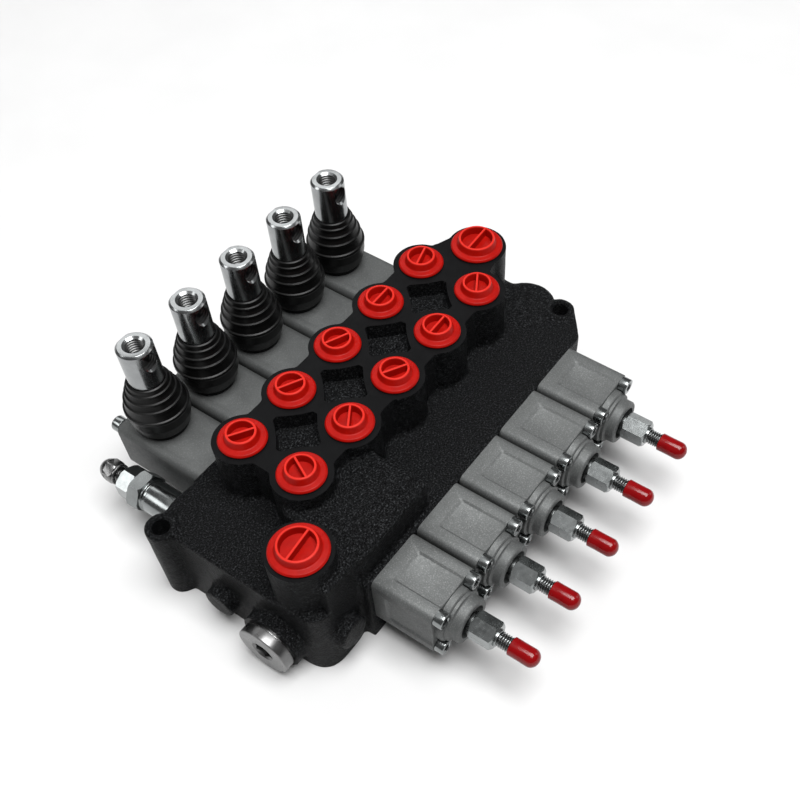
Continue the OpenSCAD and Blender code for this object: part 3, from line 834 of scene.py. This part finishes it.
def make_sleeve(i, x):
    base = SLEEVE_END - DOME_H
    shell = softened([(SLEEVE_BORE_R, SLEEVE_START + 0.2), (4.35, SLEEVE_START, 0.2),
                      (SLEEVE_R, SLEEVE_START + 0.25, 0.3), (4.74, SLEEVE_START + 5), (SLEEVE_R, base)], 4)
    inside = [(0, SLEEVE_END), (0, SLEEVE_END - 3.6), (SLEEVE_BORE_R, SLEEVE_END - 3.9)]
    outline = shell + quarter_arc(SLEEVE_R, base, DOME_H) + inside
    sleeve = finish_mesh(solid(lathe, outline, place((x, 0, SPOOL_Z), "-y"), 56, loop=True),
                         f"thread_sleeve_dipped_{i}")
    shade(sleeve, 50)
    stands_for(sleeve, f"spool_set_{i}", "red_vinyl", VINYL, f"thread_sleeve_{i}")


at_each_station(make_stud, make_sleeve)

# ---------------------------------------------------------------- port plugs

WORK_PLUG = (12.1, 7.6, 7.3)         # flange, stem and cup radius
END_PLUG = (14.2, 9.6, 9.5)
# The angle at which each plug's bar stands, in degrees
BAR_ANGLES_A = [-33, -28, -25, 2, 16]
BAR_ANGLES_B = [64, 33, -30, 2, 31]
INLET_BAR_ANGLE, OUTLET_BAR_ANGLE = 6, 3


def port_plug(flange_r, stem_r, cup_r):
    """A plastic port plug with its flange on the port face at the origin."""
    outer = [(stem_r, -11), (stem_r + 0.1, -0.4, 0.3), (flange_r - 0.4, 0, 0.3),
             (flange_r, 0.9, 0.5), (flange_r - 0.7, 1.9, 0.7), (cup_r + 1.3, 2.1, 0.8),
             (cup_r + 0.1, 5.8, 0.25), (cup_r - 0.9, 6.0, 0.25), (cup_r - 1.4, 1.6, 0.8)]
    inner = [(0, 1.2), (0, -0.6), (stem_r - 1.6, -0.8, 0.5), (stem_r - 1.4, -11)]
    profile = softened(outer, 4) + softened(inner, 4)
    plug = finish_mesh(solid(lathe, profile, place((0, 0, 0)), 80, loop=True), "plug")
    half = cup_r - 0.7
    bar = softened([(-0.78, 0.9), (0.78, 0.9), (0.55, 5.75, 0.3), (-0.55, 5.75, 0.3)], 3, closed=True)
    turned = Matrix.Rotation(math.pi / 2, 4, "Z") @ TURN["+y"] @ Matrix.Rotation(math.pi, 4, "Z")
    combine(plug, solid(prism, bar, -half, half, turned), "UNION")
    return plug


def make_plugs(node, sizes, spots, angles):
    """All the port plugs of a CAD node as one object."""
    places = [place((*spot, PORT_Z), "+z", angle) for spot, angle in zip(spots, angles)]
    plugs = repeated(port_plug(*sizes), node + "_moulded", places)
    shade(plugs, 42)
    stands_for(plugs, "valve", "red_plastic", RED, node)


make_plugs("work_port_plugs_a", WORK_PLUG, [(x, ROW_A) for x in STATION_X], BAR_ANGLES_A)
make_plugs("work_port_plugs_b", WORK_PLUG, [(x, ROW_B) for x in STATION_X], BAR_ANGLES_B)
make_plugs("inlet_port_plug", END_PLUG, [INLET], [INLET_BAR_ANGLE])
make_plugs("outlet_port_plug", END_PLUG, [OUTLET], [OUTLET_BAR_ANGLE])

# ---------------------------------------------------------------- levers

PIN_R = 9
PIN_FOOT_Z = 64          # the pin proper starts here, inside the boot
NECK_R, SHANK_BELOW_R = 5.5, 3       # above and below the pivot
PIVOT_BALL_R, SPOOL_BALL_R = 8, 4
PIVOT_PIN_HOLE_R = 3.06
TOP_HOLE_DEPTH, SIDE_HOLE_DEPTH = 16, 9.5
SIDE_HOLE = 7            # from the top of a pin down to its side hole's axis
ROOT, CREST, HOLE_PITCH = 5.0, 4.3, 1.5      # radii of the tapped thread, and its pitch
FLAT_DEPTH, FLAT_LENGTH = 1.5, 16


def tapped_hole(depth):
    """A cutter for a tapped hole with a countersink, its crests and roots drawn as rings."""
    turns = int((depth - HOLE_PITCH) / HOLE_PITCH)
    rings = [(r, 1.0 + HOLE_PITCH * (k + share)) for k in range(turns)
             for r, share in ((CREST, 0.0), (CREST, 0.2), (ROOT, 0.5), (ROOT, 0.7))]
    return [(0, -3), (5.6, -3), (5.6, 0), (CREST, 0.95)] + rings + [(CREST, depth), (0, depth)]


def ball_profile(r, z):
    """Outline of a ball round a height z."""
    arc = (-math.pi / 2 + math.pi * k / 20 for k in range(1, 20))
    return [(0, z - r)] + [(r * math.cos(a), z + r * math.sin(a)) for a in arc] + [(0, z + r)]


def make_lever(i, x):
    upright = place((x, LEVER_Y, 0))
    pin = softened([(0, PIN_FOOT_Z), (PIN_R, PIN_FOOT_Z), (PIN_R, LEVER_TOP - 1.1, 0.3),
                    (PIN_R - 1.1, LEVER_TOP, 0.3), (0, LEVER_TOP)], 3)
    lever = finish_mesh(solid(lathe, pin, upright, 96), f"lever_pin_turned_{i}")
    for r, low, high in ((NECK_R, PIVOT_Z, PIN_FOOT_Z + 1), (SHANK_BELOW_R, SPOOL_Z, PIVOT_Z)):
        combine(lever, solid(rod, r, low, high, upright, 48), "UNION")
    for r, z in ((PIVOT_BALL_R, PIVOT_Z), (SPOOL_BALL_R, SPOOL_Z)):
        combine(lever, solid(lathe, ball_profile(r, z), upright, 48), "UNION")
    for where, depth in ((place((x, LEVER_Y, LEVER_TOP), "-z"), TOP_HOLE_DEPTH),
                         (place((x, LEVER_Y - PIN_R, LEVER_TOP - SIDE_HOLE), "+y"), SIDE_HOLE_DEPTH)):
        combine(lever, solid(lathe, tapped_hole(depth), where, 48))
    flat_and_pivot = bmesh.new()
    block(flat_and_pivot, x - 12, LEVER_Y + PIN_R - FLAT_DEPTH, LEVER_TOP - FLAT_LENGTH,
          x + 12, LEVER_Y + PIN_R + 5, LEVER_TOP + 5)
    rod(flat_and_pivot, PIVOT_PIN_HOLE_R, -15, 15, place((x, LEVER_Y, PIVOT_Z), "+x"), 32)
    combine(lever, flat_and_pivot)
    shade(lever, 28)

    # The walls of the tapped holes take the darker steel: painted shade inside the holes.
    def in_painted_shade_hole(spot):
        across, deep = Vector((spot.x - x, spot.y - LEVER_Y)), LEVER_TOP - spot.z
        from_side = Vector((across.x, deep - SIDE_HOLE)).length
        inside = ROOT + 0.02
        return (across.length < inside and 0.9 < deep < TOP_HOLE_DEPTH + 0.2) or (
            from_side < inside and 0.9 - PIN_R < across.y < 0.6)

    two_tone(lever, ZINC_PIN, BORE_PAINTED_SHADE, in_painted_shade_hole)
    stands_for(lever, f"lever_arm_{i}", "zinc_plated", None, f"lever_{i}")


at_each_station(make_lever)

# ---------------------------------------------------------------- boots


def bellows_profile():
    """Outline of the moulded boot: a bowl on the housing collar, then four cones with a lip each."""
    outside = [(12.5, 46.9), (12.6, 49.0, 0.6), (14.4, 51.2, 2.0), (15.9, 57.0, 4.0), (16.2, 62.2, 1.0),
               (16.5, 62.9, 0.3), (16.4, 64.3, 0.35), (15.5, 64.6, 0.2), (14.5, 68.9, 0.2),
               (14.9, 69.4, 0.3), (14.7, 70.4, 0.3), (13.8, 70.6, 0.2), (12.8, 73.2, 0.2),
               (13.2, 73.7, 0.3), (13.0, 74.6, 0.3), (12.1, 74.8, 0.2), (11.2, 77.2, 0.2),
               (11.6, 77.7, 0.3), (11.4, 78.6, 0.3), (10.6, 78.8, 0.2), (10.2, 81.2, 0.5), (9.3, 81.5, 0.2)]
    inside = [(9.1, 81.2), (9.15, 76.5, 0.4), (11.45, 70.0, 0.6), (11.45, 46.9)]
    return softened(outside, 4) + softened(inside, 3)


def make_boot(i, x):
    boot = finish_mesh(solid(lathe, bellows_profile(), place((x, LEVER_Y, 0)), 96, loop=True),
                       f"boot_bellows_{i}")
    shade(boot, 60)
    stands_for(boot, None, "boot_rubber", BOOT, f"boot_{i}")
    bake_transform(boot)


at_each_station(make_boot)

# ---------------------------------------------------------------- lever housings

HOUSING_HALF_W = 17.25
HOUSING_Z0, HOUSING_Z1 = 17, 47
HOUSING_CORNER_R = 5
COLLAR_R, COLLAR_TOP_Z = 11, 55      # the boot's collar
SPOOL_HOLE_R, LEVER_HOLE_R, PIVOT_HOLE_R = 9, 8.8, 3.01
SLANT_Z, SLANT_ANGLE = 9, -35        # the cut under the outer end


def make_housing(i, x):
    upright = place((x, LEVER_Y, 0))
    half = HOUSING_HALF_W
    outline = softened([(a, -z, HOUSING_CORNER_R) for a, z in (
        (-half, HOUSING_Z1), (half, HOUSING_Z1), (half, HOUSING_Z0), (-half, HOUSING_Z0))], 8, closed=True)
    housing = finish_mesh(solid(prism, outline, SIDE_Y, HOUSING_END, place((x, 0, 0), "+y")),
                          f"lever_housing_casting_{i}")
    collar = [(0, HOUSING_Z1 - 1), (COLLAR_R, HOUSING_Z1 - 1), (COLLAR_R, COLLAR_TOP_Z, 0.5),
              (0, COLLAR_TOP_Z)]
    combine(housing, solid(lathe, softened(collar), upright, 64), "UNION")
    combine(housing, solid(rod, SPOOL_HOLE_R, SIDE_Y - 0.5, HOUSING_END - 3,
                           place((x, 0, SPOOL_Z), "+y"), 48))
    combine(housing, solid(rod, LEVER_HOLE_R, SPOOL_Z, 62, upright, 64))
    combine(housing, solid(rod, PIVOT_HOLE_R, -11.5, 11.5, place((x, LEVER_Y, PIVOT_Z), "+x"), 32))
    slant = place((x, HOUSING_END - 6, SLANT_Z)) @ Matrix.Rotation(math.radians(SLANT_ANGLE), 4, "X")
    below = [(-half - 1, 0), (half + 1, 0), (half + 1, 20), (-half - 1, 20)]
    combine(housing, solid(prism, below, 0, 14, slant))
    crisp(housing, 0.7, 32, 3)
    stands_for(housing, "valve", "housing_aluminium", HOUSING, f"lever_housing_{i}")


at_each_station(make_housing)

# ---------------------------------------------------------------- inlet end plug

PLUG_STEM_R, PLUG_FLANGE_R = 8, 14.5
SEAL_T, PLUG_FACE = 1, 6.5           # outwards from the inlet end face
PLUG_HEX_KEY = 10


def make_inlet_end_plug():
    """A hex-socket screw plug with its flange on the seal washer."""
    where = place((NEAR_FACE_X, PRESSURE_Y, GALLERY_Z), "-x")
    profile = [(0, -10), (PLUG_STEM_R, -10), (PLUG_STEM_R, SEAL_T), (PLUG_FLANGE_R, SEAL_T, 0.3),
               (PLUG_FLANGE_R, 6.3, 0.8), (PLUG_FLANGE_R - 0.8, PLUG_FACE, 0.3), (0, PLUG_FACE)]
    plug = finish_mesh(solid(lathe, softened(profile, 4), where, 80), "inlet_end_plug_turned")
    countersink = [(0, 5.3), (5.0, 5.3), (6.4, 6.6), (6.4, 9), (0, 9)]
    combine(plug, solid(lathe, countersink, where, 64))
    combine(plug, solid(prism, hexagon(PLUG_HEX_KEY), -1.5, 9, where))
    crisp(plug)
    stands_for(plug, "valve", "zinc_plated", GROUND, "inlet_end_plug")


make_inlet_end_plug()

# ---------------------------------------------------------------- relief valve

# Distances along +Y
RELIEF_HEX, RELIEF_NUT, RELIEF_NUT_END, RELIEF_CAP = 78, 85.5, 94.3, 99.6
RELIEF_BODY = [(0, 30.2), (6.9, 30.2, 0.4), (6.9, 56.2), (8.0, 56.2), (9, 57.0, 0.4), (9, 74.5, 0.4),
               (8.2, 75.0, 0.3), (8.2, 76.4, 0.3), (9, 76.9, 0.4), (9, 78.6), (0, 78.6)]
DOME_R, DOME_Y, DOME_TIP = 5.9, 106, 111.9
CAP_FLANGE = [(0, RELIEF_CAP), (5.4, RELIEF_CAP, 0.3), (5.8, RELIEF_CAP + 0.4, 0.3),
              (5.8, RELIEF_CAP + 1.3, 0.3), (4.6, RELIEF_CAP + 1.7), (4.6, 106.4), (5.2, 106.6)]
BODY_FLATS, NUT_FLATS, CAP_FLATS = 19, 16, 11        # widths of the hexagons
ADJUSTER_BORE_R = 4.05
ADJUSTER_R, ADJUSTER_THREAD_DEPTH = 3.98, 0.62
ADJUSTER_START, ADJUSTER_END = 68.2, 104.9


def relief_part(node, slot, material, nut, bore, profile=None):
    """A part on the relief valve's axis: a chamfered hexagon, a turned body and a bore for the screw.

    nut is the hexagon's width across flats, its spin and its two ends; bore is the bore's two ends.
    """
    where = place((RELIEF_X, 0, RELIEF_Z), "+y")
    flats, spin, low, high = nut
    part = finish_mesh(solid(prism, hexagon(flats, spin), low, high, where), node + "_turned")
    end_r, wide_r = flats / 2 - 0.4, flats / 2 * 1.17
    chamfers = [(0, low - 1), (end_r, low - 1), (wide_r, low + 1.1), (wide_r, high - 1.1),
                (end_r, high + 1), (0, high + 1)]
    combine(part, solid(lathe, chamfers, where, 96), "INTERSECT")
    if profile:
        combine(part, solid(lathe, softened(profile, 4), where, 72), "UNION")
    combine(part, solid(rod, ADJUSTER_BORE_R, *bore, where, 40))
    crisp(part)
    stands_for(part, "valve", slot, material, node)


def make_relief_valve():
    relief_part("relief_valve_body", "zinc_plated", ZINC, (BODY_FLATS, 0, RELIEF_HEX, RELIEF_NUT - 0.1),
                (60, RELIEF_NUT + 1), RELIEF_BODY)
    relief_part("relief_lock_nut", "zinc_plated", ZINC, (NUT_FLATS, 30, RELIEF_NUT, RELIEF_NUT_END),
                (RELIEF_NUT - 1, RELIEF_NUT_END + 1))
    cap = CAP_FLANGE + quarter_arc(DOME_R, DOME_Y, DOME_R) + [(0, DOME_TIP)]
    relief_part("relief_cap_nut", "dark_zinc", DARK, (CAP_FLATS, 30, RELIEF_CAP + 1.6, 107.4),
                (RELIEF_CAP - 1, 105.1), cap)
    bm = solid(thread, ADJUSTER_R, ADJUSTER_THREAD_DEPTH, THREAD_PITCH, ADJUSTER_START, ADJUSTER_END,
               place((RELIEF_X, 0, RELIEF_Z), "+y"))
    screw = finish_mesh(bm, "relief_adjusting_screw_threaded")
    shade(screw, 40)
    stands_for(screw, "valve", "steel", DARK, "relief_adjusting_screw")


make_relief_valve()

# ---------------------------------------------------------------- centring springs


def coil(bm, r, wire_r, low, high, turns, where, steps=36, sides=12):
    """A closed coil of round wire, wound tighter over its first and last turn."""
    close = 2.04 * wire_r            # pitch of the end turns, whose wires almost touch
    start, end = low + wire_r, high - wire_r
    rings = []
    for j in range(turns * steps + 1):
        turn = j / steps
        if turn < 1:
            h = start + close * turn
        elif turn > turns - 1:
            h = end - close * (turns - turn)
        else:
            h = start + close + (end - start - 2 * close) * (turn - 1) / (turns - 2)
        a = TAU * turn
        ring = []
        for k in range(sides):
            t = TAU * k / sides
            reach = r + wire_r * math.cos(t)
            spot = Vector((reach * math.cos(a), reach * math.sin(a), h + wire_r * math.sin(t)))
            ring.append(bm.verts.new(where @ spot))
        rings.append(ring)
    skin(bm, rings)


SPRING_R, WIRE_R, SPRING_TURNS = 8.2, 1.1, 5
SPRING_START, SPRING_END = 64.2, 80.8        # along -Y


def make_spring(i, x):
    """A spring that the collar on its spool pushes against the cap."""
    bm = solid(coil, SPRING_R, WIRE_R, SPRING_START, SPRING_END, SPRING_TURNS,
               place((x, 0, SPOOL_Z), "-y"))
    spring = finish_mesh(bm, f"centring_spring_wire_{i}")
    shade(spring, 40)
    stands_for(spring, "valve", "spring_steel", WIRE, f"centring_spring_{i}")
    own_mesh(spring)


at_each_station(make_spring)

# ---------------------------------------------------------------- CAD nodes that stay

KEPT = {
    "relief_spring": WIRE, "relief_poppet": STEEL,
    "outlet_end_plug": ZINC, "inlet_end_plug_seal": STEEL, "spool_seals": SEAL,
    "spring_seats": STEEL, "lever_pivot_pins": STEEL,
    **{f"spool_{i}": STEEL for i in STATIONS},
}
for node, material in KEPT.items():
    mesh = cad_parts[node].data
    if not mesh.materials:
        mesh.materials.append(material)
    for k in range(len(mesh.materials)):
        mesh.materials[k] = material
    mesh.shade_smooth()
    mesh.set_sharp_from_angle(angle=math.radians(32))

# ---------------------------------------------------------------- floor, light and camera

FLOOR_HALF = 6.0         # metres
FLOOR_GAP = 0.0002       # metres below the mounting face
LIGHTS = [               # name; place, aim and size in metres; watts
    ("key", (-0.04, -0.42, 2.05), (0, 0, 0.03), (1.3, 1.3), 66),
    ("strip", (-0.03, 0.37, 0.98), (0, 0, 0.04), (1.3, 0.42), 0.9),
    ("back", (0.62, 0.90, 1.0), (0, 0.09, 0.10), (1.1, 0.5), 3.2),
    ("left", (-0.93, 0.95, 0.98), (-0.10, 0.09, 0.03), (0.55, 0.5), 3.2),
    ("right", (0.9, -0.8, 0.6), (0, 0, 0.04), (0.5, 0.5), 1.2),
]
WORLD_STRENGTH = 0.14
CAMERA_SPOT = (-0.2531, -0.2216, 0.4511)     # metres
CAMERA_AHEAD = (0.4526, 0.3075, -0.8370)     # the way it looks
CAMERA_LENS, CAMERA_SENSOR = 45.2, 36        # mm
CAMERA_SHIFT = (-0.0896, 0.1534)             # in sensor widths


def towards(direction):
    """The turn that makes a light or a camera look along a direction."""
    return direction.to_track_quat("-Z", "Y").to_euler()


def make_floor():
    bm = bmesh.new()
    corners = ((-1, -1), (1, -1), (1, 1), (-1, 1))
    bm.faces.new([bm.verts.new((x * FLOOR_HALF, y * FLOOR_HALF, -FLOOR_GAP)) for x, y in corners])
    floor = linked(bm, "floor")
    p = Paint("floor_white", Specular_IOR_Level=0.2)
    p.colour(p.ramp(p.noise(60, 2), (0.3, grey(0.62)), (0.7, grey(0.64))))
    p.shader.inputs["Roughness"].default_value = 0.7
    floor.data.materials.append(p.material)


def softbox(name, spot, aim, size, watts):
    """A rectangular studio light that looks at a point."""
    light = bpy.data.lights.new(name, "AREA")
    light.shape = "RECTANGLE"
    light.size, light.size_y = size
    light.energy = watts
    obj = bpy.data.objects.new(name, light)
    bpy.context.collection.objects.link(obj)
    obj.location = spot
    obj.rotation_euler = towards(Vector(aim) - Vector(spot))


def make_light():
    world = bpy.data.worlds.new("studio")
    bpy.context.scene.world = world
    world.use_nodes = True
    background = world.node_tree.nodes["Background"]
    background.inputs["Color"].default_value = (1, 1, 1, 1)
    background.inputs["Strength"].default_value = WORLD_STRENGTH
    for light in LIGHTS:
        softbox(*light)


def make_camera():
    """The camera's place and turn in the record's frame, and a lens and shift for a square frame."""
    data = bpy.data.cameras.new("camera")
    data.lens = CAMERA_LENS
    data.sensor_width = CAMERA_SENSOR
    data.shift_x, data.shift_y = CAMERA_SHIFT
    data.clip_start = 0.01
    camera = bpy.data.objects.new("camera", data)
    bpy.context.collection.objects.link(camera)
    camera.location = CAMERA_SPOT
    camera.rotation_euler = towards(Vector(CAMERA_AHEAD).normalized())
    bpy.context.scene.camera = camera


make_floor()
make_light()
make_camera()
bpy.context.scene.view_settings.view_transform = "Standard"
